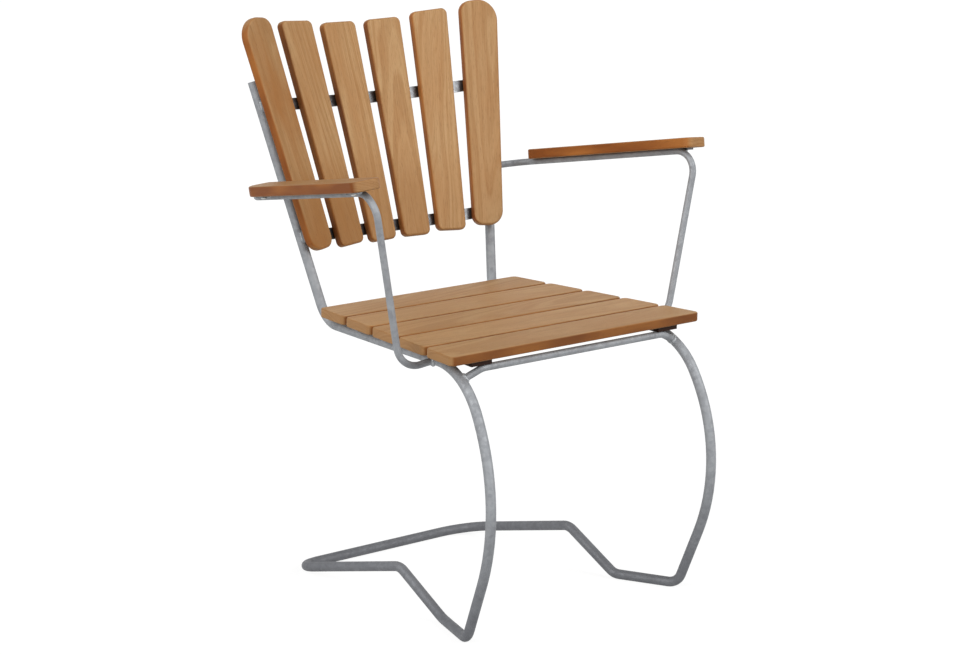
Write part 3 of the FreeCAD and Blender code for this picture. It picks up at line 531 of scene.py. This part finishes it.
def joint_line(start, leaving, main_point, main_axis, rod_radius, main_radius):
    """The line where a rod's skin meets the main rod's, as points round the rod."""
    leaving = leaving.normalized()
    main_axis = main_axis.normalized()
    across = leaving.orthogonal().normalized()
    other = leaving.cross(across)

    def off_axis(vector):
        return vector - main_axis * vector.dot(main_axis)

    points = []
    for step in range(JOINT_POINTS):
        turn = math.tau * step / JOINT_POINTS
        skin = start + (across * math.cos(turn) + other * math.sin(turn)) * rod_radius
        reach = off_axis(leaving)
        offset = off_axis(skin - main_point)
        square = reach.length_squared
        half = offset.dot(reach)
        rest = offset.length_squared - main_radius ** 2
        distance = (-half + math.sqrt(max(half * half - square * rest, 0))) / square
        points.append(skin + leaving * distance)
    return points


def both_sides(line):
    """A line of points in millimetres and its mirror image, both in metres."""
    left = [point * MM for point in line]
    return [left, [Vector((-point.x, point.y, point.z)) for point in reversed(left)]]


def finish_piece(name, made, material, smooth=True):
    """Turn a bmesh into a piece of the chair that rides on its one body."""
    bmesh.ops.recalc_face_normals(made, faces=made.faces)
    mesh = bpy.data.meshes.new(name)
    made.to_mesh(mesh)
    made.free()
    mesh.materials.append(material)
    if smooth:
        mesh.shade_smooth()
    piece = bpy.data.objects.new(name, mesh)
    bpy.context.scene.collection.objects.link(piece)
    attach(piece, "root")
    return piece


# Screws

# Points this close belong to one screw.
TOUCHING = 0.01 * MM

# A pan head's section from the middle of its top: how far out over its radius, and how far down
# over its height.
PAN_HEAD = [(0, 0), (0.45, 0.02), (0.7, 0.12), (0.9, 0.34), (1, 0.62), (1, 0.9), (0.96, 1),
            (0, 1)]
HEAD_SIDES = 24

# Each slot of the cross recess: length and width over the head's radius, and the whole cutter's
# height over the head's, half of which is outside.
SLOT_LENGTH, SLOT_WIDTH, SLOT_HEIGHT = 1.05, 0.24, 1.3

THREAD_SIDES = 12
ROWS_PER_PITCH = 4
# What is left of the thread's radius at the screw's tip.
TIP_SHARE = 0.06


def screw_places(node):
    """Head centre, direction into the wood and length of each screw in a CAD node."""
    made = bmesh.new()
    made.from_mesh(node.data)
    bmesh.ops.remove_doubles(made, verts=made.verts, dist=TOUCHING)
    waiting = set(made.verts)
    places = []
    while waiting:
        group = []
        reached = [min(waiting, key=lambda vert: vert.index)]
        waiting.remove(reached[0])
        while reached:
            vert = reached.pop()
            group.append(vert.co.copy())
            for link in vert.link_edges:
                other = link.other_vert(vert)
                if other in waiting:
                    waiting.remove(other)
                    reached.append(other)
        points = np.array(group)
        middle = points.mean(0)
        axis = Vector(np.linalg.svd(points - middle)[2][0])
        offsets = [Vector(point) - Vector(middle) for point in points]
        reach = [offset.dot(axis) for offset in offsets]
        widest = max(range(len(points)), key=lambda index: (
            offsets[index] - axis * reach[index]).length)
        if reach[widest] > 0:
            axis.negate()
            reach = [-distance for distance in reach]
        low, high = min(reach), max(reach)
        top = [point for point, distance in zip(points, reach) if distance < low + TOUCHING]
        places.append((Vector(np.mean(top, axis=0)), axis, high - low))
    made.free()
    return places


def recessed_head(settings):
    """Mesh of a pan head with a cross recess: Z = 0 is its top and Z grows into the wood."""
    radius, height = settings.head_radius, settings.head_height
    made = bmesh.new()
    rings = []
    for across, down in PAN_HEAD:
        if across == 0:
            rings.append([made.verts.new((0, 0, down * height))])
        else:
            rings.append([made.verts.new((across * radius * math.cos(turn),
                                          across * radius * math.sin(turn), down * height))
                          for turn in (math.tau * step / HEAD_SIDES
                                       for step in range(HEAD_SIDES))])
    for ring, following in zip(rings, rings[1:]):
        for step in range(HEAD_SIDES):
            ahead = (step + 1) % HEAD_SIDES
            loop = [ring[step % len(ring)], ring[ahead % len(ring)],
                    following[ahead % len(following)], following[step % len(following)]]
            made.faces.new([vert for place, vert in enumerate(loop) if vert not in loop[:place]])
    bmesh.ops.recalc_face_normals(made, faces=made.faces)
    head = bpy.data.objects.new("head_blank", bpy.data.meshes.new("head_blank"))
    made.to_mesh(head.data)
    made.free()
    cutter = bmesh.new()
    for turn in (0, math.pi / 2):
        shape = Matrix.Rotation(turn, 4, "Z") @ Matrix.Diagonal(
            (SLOT_LENGTH * radius, SLOT_WIDTH * radius, SLOT_HEIGHT * height, 1))
        bmesh.ops.create_cube(cutter, size=1, matrix=shape)
    tool = bpy.data.objects.new("head_recess", bpy.data.meshes.new("head_recess"))
    cutter.to_mesh(tool.data)
    cutter.free()
    for item in (head, tool):
        bpy.context.scene.collection.objects.link(item)
    recess = head.modifiers.new("recess", "BOOLEAN")
    recess.operation = "DIFFERENCE"
    recess.solver = "EXACT"
    recess.use_self = True
    recess.object = tool
    cut = bpy.data.meshes.new_from_object(head.evaluated_get(
        bpy.context.evaluated_depsgraph_get()))
    for item in (head, tool):
        bpy.data.objects.remove(item)
    return cut


def add_screw(made, head, place, length, settings):
    """Add one screw: the recessed head, then a shank with a rolled thread and a point."""
    first = len(made.verts)
    made.from_mesh(head)
    made.verts.ensure_lookup_table()
    bmesh.ops.transform(made, matrix=place, verts=made.verts[first:])
    core, crest = settings.core_radius, settings.thread_radius
    start, point = settings.head_height, length - 2 * settings.thread_radius
    count = int((length - start) / settings.thread_pitch * ROWS_PER_PITCH)
    rows = []
    for row in range(count + 1):
        depth = start + (length - start) * row / count
        ring = []
        for step in range(THREAD_SIDES):
            turn = math.tau * step / THREAD_SIDES
            phase = (depth / settings.thread_pitch - step / THREAD_SIDES) % 1
            ridge = max(0, 1 - abs(phase - 0.5) * 4)
            size = core + (crest - core) * ridge
            if depth > point:
                size *= max(TIP_SHARE, (length - depth) / (length - point))
            ring.append(made.verts.new(place @ Vector((size * math.cos(turn),
                                                       size * math.sin(turn), depth))))
        rows.append(ring)
    for ring, following in zip(rows, rows[1:]):
        for step in range(THREAD_SIDES):
            ahead = (step + 1) % THREAD_SIDES
            made.faces.new((ring[step], ring[ahead], following[ahead], following[step]))
    made.faces.new(rows[0][::-1])
    made.faces.new(rows[-1])


# Studio

# The way to each lamp from the chair, and how wide it looks from there.
FRONT_WAY, FRONT_SPREAD = (0.33, -0.80, 0.50), math.radians(40)
SIDE_WAY, SIDE_SPREAD = (-0.86, -0.08, 0.50), math.radians(50)
LAMP_DISTANCE = 3

# What the camera sees of the floor: a glow that is nearly white, and a grey that the lamps make
# up to white and that keeps the shadow.
FLOOR_GLOW = 0.87
SHADOW_GREY = (0.22, 0.22, 0.22, 1)

SENSOR_WIDTH = 36


def seen_directly(tree):
    """1 for camera, glossy and transmission rays, 0 for the rays that light the chair."""
    ray = add(tree, "ShaderNodeLightPath").outputs
    through = add(tree, "ShaderNodeMath", {
        0: ray["Is Glossy Ray"], 1: ray["Is Transmission Ray"]}, operation="MAXIMUM").outputs[0]
    return add(tree, "ShaderNodeMath", {
        0: ray["Is Camera Ray"], 1: through}, operation="MAXIMUM").outputs[0]


# Settings that a user would change


class TeakFinish(bpy.types.PropertyGroup):
    """Colours and real sizes of the oiled boards and the stained battens."""

    early_wood: FloatVectorProperty(
        name="Early wood", description="Paler part of each growth ring", subtype="COLOR", size=4,
        default=linear("#C09A6C"))
    late_wood: FloatVectorProperty(
        name="Late wood", description="Darker part of each growth ring", subtype="COLOR", size=4,
        default=linear("#AC8254"))
    pale_streak: FloatVectorProperty(
        name="Pale streak", description="Fine pale fibres", subtype="COLOR", size=4,
        default=linear("#CDA87A"))
    warm_patch: FloatVectorProperty(
        name="Warm patch", description="Redder clouds along the board", subtype="COLOR", size=4,
        default=linear("#AE7844"))
    edge_light: FloatVectorProperty(
        name="Edge, light", description="Sawn edge between the rings", subtype="COLOR", size=4,
        default=linear("#AA6A31"))
    edge_dark: FloatVectorProperty(
        name="Edge, dark", description="Sawn edge in the rings", subtype="COLOR", size=4,
        default=linear("#84481B"))
    # The colour of the painted shade on the back boards' low ends.
    low_end_shade: FloatVectorProperty(
        name="Low end", description="Where rain runs down to on the back boards",
        subtype="COLOR", size=4, default=linear("#936535"))
    end_light: FloatVectorProperty(
        name="End grain, light", description="Sanded end grain", subtype="COLOR", size=4,
        default=linear("#BD9568"))
    end_dark: FloatVectorProperty(
        name="End grain, dark", description="Rings in the end grain", subtype="COLOR", size=4,
        default=linear("#93693C"))
    pore_colour: FloatVectorProperty(
        name="Pores", description="Oil that darkened in the pores", subtype="COLOR", size=4,
        default=linear("#6B4422"))
    pore_strength: FloatProperty(
        name="Pore strength", description="How dark the pores read", default=0.35, min=0, max=1)
    ring_spacing: FloatProperty(
        name="Ring spacing", description="Growth ring width", default=3 * MM, unit="LENGTH",
        precision=5)
    wander: FloatProperty(
        name="Grain wander", description="Length over which the rings wander across the board",
        default=45 * MM, unit="LENGTH", precision=5)
    wander_depth: FloatProperty(
        name="Wander depth", description="How far the rings wander", default=14 * MM,
        unit="LENGTH", precision=5)
    fibre_width: FloatProperty(
        name="Fibre width", description="Width of a fibre streak", default=1.6 * MM,
        unit="LENGTH", precision=5)
    pore_width: FloatProperty(
        name="Pore width", description="Width of an open pore", default=0.9 * MM,
        unit="LENGTH", precision=5)
    cloud_size: FloatProperty(
        name="Cloud size", description="Width of the warmer patches", default=40 * MM,
        unit="LENGTH", precision=5)
    roughness: FloatProperty(
        name="Roughness", description="Gloss of the oiled face", default=0.5, min=0, max=1)
    stain_dark: FloatVectorProperty(
        name="Stain, dark", description="Battens, dark grain", subtype="COLOR", size=4,
        default=linear("#160B06"))
    stain_light: FloatVectorProperty(
        name="Stain, light", description="Battens, light grain", subtype="COLOR", size=4,
        default=linear("#33190C"))


class ZincFinish(bpy.types.PropertyGroup):
    """Colours and real sizes of the galvanised coat and the plated screws."""

    zinc_dark: FloatVectorProperty(
        name="Zinc, dark", description="Dull zinc", subtype="COLOR", size=4,
        default=linear("#898B8F"))
    zinc_light: FloatVectorProperty(
        name="Zinc, light", description="Pale bloom on the zinc", subtype="COLOR", size=4,
        default=linear("#999CA0"))
    zinc_bright: FloatVectorProperty(
        name="Zinc, bright", description="Spangle that catches the light", subtype="COLOR", size=4,
        default=linear("#C2C6C8"))
    # The colour the zinc darkens to towards the floor.
    zinc_low: FloatVectorProperty(
        name="Zinc, worn", description="Zinc near the floor", subtype="COLOR", size=4,
        default=linear("#54555A"))
    spangle_size: FloatProperty(
        name="Spangle size", description="Width of a zinc crystal", default=6 * MM, unit="LENGTH",
        precision=5)
    spangle_strength: FloatProperty(
        name="Spangle strength", description="How bright the crystals read", default=0.14, min=0,
        max=1)
    bloom_size: FloatProperty(
        name="Bloom size", description="Width of the dull and pale clouds", default=24 * MM,
        unit="LENGTH", precision=5)
    grit_size: FloatProperty(
        name="Grit size", description="Roughness of the dipped coat", default=1.6 * MM,
        unit="LENGTH", precision=5)
    # Height below which the zinc grows darker towards the floor.
    darkening_height: FloatProperty(
        name="Splash height", description="Height below which the zinc is duller", default=0.24,
        unit="LENGTH")
    metallic: FloatProperty(
        name="Metallic", description="The rest is the dull patina of the zinc", default=0.3,
        min=0, max=1)
    roughness: FloatProperty(
        name="Roughness", description="Gloss of the zinc", default=0.62, min=0, max=1)
    bar_metallic: FloatProperty(
        name="Bar metallic", description="Cleaner zinc on the flat bars", default=0.9, min=0,
        max=1)
    # Painted shade: the flat bars behind the back boards are drawn darker than the rods, for the
    # shade they sit in.
    bar_painted_shade: FloatProperty(
        name="Bar tone", description="How dark the flat bars are beside the rods", default=0.5,
        min=0, max=1)
    bar_roughness: FloatProperty(
        name="Bar roughness", description="Smoother zinc on the flat bars", default=0.36, min=0,
        max=1)
    plate_light: FloatVectorProperty(
        name="Plate, light", description="Screws' zinc plate", subtype="COLOR", size=4,
        default=linear("#C9CBC8"))
    plate_dark: FloatVectorProperty(
        name="Plate, dark", description="Mottle in the screws' plate", subtype="COLOR", size=4,
        default=linear("#A3A5A4"))


class ScrewSizes(bpy.types.PropertyGroup):
    """Sizes of the wood screws."""

    head_radius: FloatProperty(
        name="Head radius", description="Pan head", default=4.75 * MM, unit="LENGTH", precision=5)
    head_height: FloatProperty(
        name="Head height", description="Pan head", default=3 * MM, unit="LENGTH", precision=5)
    thread_radius: FloatProperty(
        name="Thread radius", description="Outside the thread", default=2.5 * MM, unit="LENGTH",
        precision=5)
    core_radius: FloatProperty(
        name="Core radius", description="Between the threads", default=1.8 * MM, unit="LENGTH",
        precision=5)
    thread_pitch: FloatProperty(
        name="Thread pitch", description="From one turn to the next", default=2.2 * MM,
        unit="LENGTH", precision=5)


class StudioSettings(bpy.types.PropertyGroup):
    """Camera, lamps and floor."""

    camera_place: FloatVectorProperty(
        name="Camera place", description="Where the camera stands", subtype="TRANSLATION",
        default=(-3.0203, -3.4520, 1.3790))
    camera_heading: FloatProperty(
        name="Camera heading", description="Turn from +Y towards +X", subtype="ANGLE",
        default=0.723100)
    camera_dip: FloatProperty(
        name="Camera dip", description="How far it looks down", subtype="ANGLE", default=0.204933)
    camera_roll: FloatProperty(
        name="Camera roll", description="Turn about its own view", subtype="ANGLE",
        default=0.002004)
    lens: FloatProperty(
        name="Lens", description="Focal length in millimetres on a 36 mm sensor", default=107.237,
        unit="CAMERA")
    sky: FloatProperty(
        name="Room light", description="Level of the even light from all round", default=0.23)
    front: FloatProperty(
        name="Front lamp", description="Level of the soft lamp in front", default=0.57)
    side: FloatProperty(
        name="Side lamp", description="Level of the soft lamp beside the chair", default=0.66)
    floor_size: FloatProperty(
        name="Floor size", description="Half width of the floor", default=40, unit="LENGTH")
    floor_colour: FloatVectorProperty(
        name="Floor", description="Pale floor", subtype="COLOR", size=4, default=linear("#CCCCCC"))


# Operators


class GARDENCHAIR_OT_oil_boards(bpy.types.Operator):
    """Give each seat, back and armrest board its own piece of oiled teak"""

    bl_idname = "garden_chair.oil_boards"
    bl_label = "Oil the boards"

    def execute(self, context):
        settings = context.scene.garden_chair_teak
        for seed, name in enumerate(SEAT_BOARDS + BACK_BOARDS + ARMRESTS):
            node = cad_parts[name]
            dress(node, oiled_teak(node, settings, seed))
        return {"FINISHED"}


class GARDENCHAIR_OT_stain_battens(bpy.types.Operator):
    """Stain the battens under the seat"""

    bl_idname = "garden_chair.stain_battens"
    bl_label = "Stain the battens"

    def execute(self, context):
        for name in BATTENS:
            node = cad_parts[name]
            dress(node, stained_hardwood(node, context.scene.garden_chair_teak))
        return {"FINISHED"}


class GARDENCHAIR_OT_galvanise_steel(bpy.types.Operator):
    """Galvanise the rods, the back bars and the lugs"""

    bl_idname = "garden_chair.galvanise_steel"
    bl_label = "Galvanise the steel"

    def execute(self, context):
        settings = context.scene.garden_chair_zinc
        rod = galvanised_steel(settings, "galvanised_rod", settings.metallic, settings.roughness,
                               1)
        # The flat bars' coat is darkened by painted shade.
        bar = galvanised_steel(settings, "galvanised_flat_bar_painted_shade", settings.bar_metallic,
                               settings.bar_roughness, settings.bar_painted_shade)
        for names, material in ((RODS, rod), (FLAT_STEEL, bar)):
            for name in names:
                dress(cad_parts[name], material)
        return {"FINISHED"}


class GARDENCHAIR_OT_weld_beads(bpy.types.Operator):
    """Lay a weld bead wherever two steel pieces meet"""

    bl_idname = "garden_chair.weld_beads"
    bl_label = "Lay the weld beads"

    def execute(self, context):
        material = weld_zinc(context.scene.garden_chair_zinc)
        draw = random.Random("beads")
        for name, joints in ROD_JOINTS.items():
            made = bmesh.new()
            for start, leaving, main_point, main_axis, rod_radius, bead in joints:
                line = joint_line(Vector(start), Vector(leaving), Vector(main_point),
                                  Vector(main_axis), rod_radius, MAIN_RADIUS)
                for side in both_sides(line):
                    add_bead(made, side, bead * MM, draw, True)
            finish_piece(name, made, material)

        made = bmesh.new()
        for centre, to_upright, along_bar in BAR_JOINTS:
            for offset in (-BAR_BEAD_ASIDE, BAR_BEAD_ASIDE):
                start = (Vector(centre) - Vector(to_upright) * (MAIN_RADIUS - BAR_BEAD_SINK)
                         + Vector(along_bar) * offset)
                line = [start + Vector(UPRIGHT) * step
                        for step in range(-BAR_BEAD_HALF, BAR_BEAD_HALF + 1)]
                for side in both_sides(line):
                    add_bead(made, side, BAR_BEAD_RADIUS * MM, draw, False)
        finish_piece("weld_beads_back_bars", made, material)

        made = bmesh.new()
        out, back = Vector(ARM_OUT), Vector(ARM_BACK)
        above = out.cross(back)
        for station in LUG_STATIONS:
            start = (Vector(ARM_FRONT) + back * station + out * LUG_BEAD_OUT
                     + above * LUG_BEAD_UP)
            line = [start + back * step for step in range(-LUG_BEAD_HALF, LUG_BEAD_HALF + 1)]
            for side in both_sides(line):
                add_bead(made, side, LUG_BEAD_RADIUS * MM, draw, False)
        finish_piece("weld_beads_armrest_lugs", made, material)
        return {"FINISHED"}


class GARDENCHAIR_OT_screws(bpy.types.Operator):
    """Stand a threaded, cross-recessed screw where each plain one of the CAD is"""

    bl_idname = "garden_chair.screws"
    bl_label = "Drive the screws"

    def execute(self, context):
        settings = context.scene.garden_chair_screws
        material = zinc_plate(context.scene.garden_chair_zinc)
        head = recessed_head(settings)
        for name in SCREW_NODES:
            draw = random.Random(name)
            made = bmesh.new()
            for centre, axis, length in screw_places(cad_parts[name]):
                turn = Matrix.Rotation(draw.uniform(0, math.tau), 4, "Z")
                upright = axis.to_track_quat("Z", "Y").to_matrix().to_4x4()
                place = Matrix.Translation(centre) @ upright @ turn
                add_screw(made, head, place, length, settings)
            piece = finish_piece(f"{name}_threaded", made, material, False)
            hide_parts(name)
        return {"FINISHED"}


class GARDENCHAIR_OT_studio(bpy.types.Operator):
    """Set up the pale floor, the soft light and the camera"""

    bl_idname = "garden_chair.studio"
    bl_label = "Set up the studio"

    def execute(self, context):
        settings = context.scene.garden_chair_studio
        scene = context.scene
        scene.view_settings.view_transform = "Standard"

        world = bpy.data.worlds.new("studio_room")
        world.use_nodes = True
        tree = world.node_tree
        tree.nodes.clear()
        light = add(tree, "ShaderNodeBackground", {"Strength": settings.sky, "Color": WHITE})
        backdrop = add(tree, "ShaderNodeBackground", {"Strength": 1, "Color": WHITE})
        room = add(tree, "ShaderNodeMixShader", {
            0: seen_directly(tree), 1: light.outputs[0], 2: backdrop.outputs[0]})
        add(tree, "ShaderNodeOutputWorld", {"Surface": room.outputs[0]})
        scene.world = world

        self.lamp("front_lamp", settings.front, FRONT_WAY, FRONT_SPREAD)
        self.lamp("side_lamp", settings.side, SIDE_WAY, SIDE_SPREAD)
        self.floor(settings)
        self.camera(settings)
        return {"FINISHED"}

    def lamp(self, name, level, towards, spread):
        """Large soft lamp far off in a direction; level 1 alone lights a white face white."""
        data = bpy.data.lights.new(name, "SUN")
        data.energy = level * math.pi
        data.angle = spread
        lamp = bpy.data.objects.new(name, data)
        lamp.rotation_euler = Vector(towards).to_track_quat("Z", "Y").to_euler()
        lamp.location = Vector(towards).normalized() * LAMP_DISTANCE
        bpy.context.scene.collection.objects.link(lamp)

    def floor(self, settings):
        """Plain floor: white to the camera but for the soft shadow that it keeps."""
        made = bmesh.new()
        bmesh.ops.create_grid(made, x_segments=1, y_segments=1, size=settings.floor_size)
        mesh = bpy.data.meshes.new("studio_floor")
        made.to_mesh(mesh)
        made.free()
        floor = bpy.data.objects.new("studio_floor", mesh)
        bpy.context.scene.collection.objects.link(floor)
        material, tree = new_material("painted_floor")
        diffuse = add(tree, "ShaderNodeBsdfDiffuse", {"Color": settings.floor_colour})
        faint = add(tree, "ShaderNodeBsdfDiffuse", {"Color": SHADOW_GREY})
        glow = add(tree, "ShaderNodeEmission", {"Strength": FLOOR_GLOW, "Color": WHITE})
        white = add(tree, "ShaderNodeAddShader", {0: faint.outputs[0], 1: glow.outputs[0]})
        paint = add(tree, "ShaderNodeMixShader", {
            0: seen_directly(tree), 1: diffuse.outputs[0], 2: white.outputs[0]})
        add(tree, "ShaderNodeOutputMaterial", {"Surface": paint.outputs[0]})
        mesh.materials.append(material)

    def camera(self, settings):
        """Camera at the photograph's place and angle."""
        heading, dip, roll = settings.camera_heading, settings.camera_dip, settings.camera_roll
        level = Vector((math.cos(heading), -math.sin(heading), 0))
        view = Vector((math.sin(heading) * math.cos(dip), math.cos(heading) * math.cos(dip),
                       -math.sin(dip)))
        upward = level.cross(view)
        right = level * math.cos(roll) + upward * math.sin(roll)
        above = upward * math.cos(roll) - level * math.sin(roll)
        data = bpy.data.cameras.new("photo_camera")
        data.sensor_width = SENSOR_WIDTH
        data.sensor_fit = "HORIZONTAL"
        data.lens = settings.lens
        camera = bpy.data.objects.new("photo_camera", data)
        turn = Matrix((right, above, -view)).transposed().to_4x4()
        camera.matrix_world = Matrix.Translation(settings.camera_place) @ turn
        bpy.context.scene.collection.objects.link(camera)
        bpy.context.scene.camera = camera


class GARDENCHAIR_PT_panel(bpy.types.Panel):
    """Lists the chair's steps in the sidebar"""

    bl_idname = "GARDENCHAIR_PT_panel"
    bl_label = "Garden chair"
    bl_space_type = "VIEW_3D"
    bl_region_type = "UI"
    bl_category = "Garden chair"

    def draw(self, context):
        for step in STEPS:
            self.layout.operator(step.bl_idname)
        for name, group in GROUPS.items():
            box = self.layout.box()
            box.label(text=group.__doc__)
            for prop in group.__annotations__:
                box.prop(getattr(context.scene, name), prop)


GROUPS = {
    "garden_chair_teak": TeakFinish,
    "garden_chair_zinc": ZincFinish,
    "garden_chair_screws": ScrewSizes,
    "garden_chair_studio": StudioSettings,
}
STEPS = [GARDENCHAIR_OT_oil_boards, GARDENCHAIR_OT_stain_battens, GARDENCHAIR_OT_galvanise_steel,
         GARDENCHAIR_OT_weld_beads, GARDENCHAIR_OT_screws, GARDENCHAIR_OT_studio]


def register():
    for group in GROUPS.values():
        bpy.utils.register_class(group)
    for step in STEPS + [GARDENCHAIR_PT_panel]:
        bpy.utils.register_class(step)
    for name, group in GROUPS.items():
        setattr(bpy.types.Scene, name, PointerProperty(type=group))


def unregister():
    for name in GROUPS:
        delattr(bpy.types.Scene, name)
    for step in [GARDENCHAIR_PT_panel] + STEPS[::-1]:
        bpy.utils.unregister_class(step)
    for group in reversed(GROUPS.values()):
        bpy.utils.unregister_class(group)


def main():
    """Make the whole chair."""
    register()
    for step in STEPS:
        module, name = step.bl_idname.split(".")
        getattr(getattr(bpy.ops, module), name)()


if __name__ == "__main__":
    main()
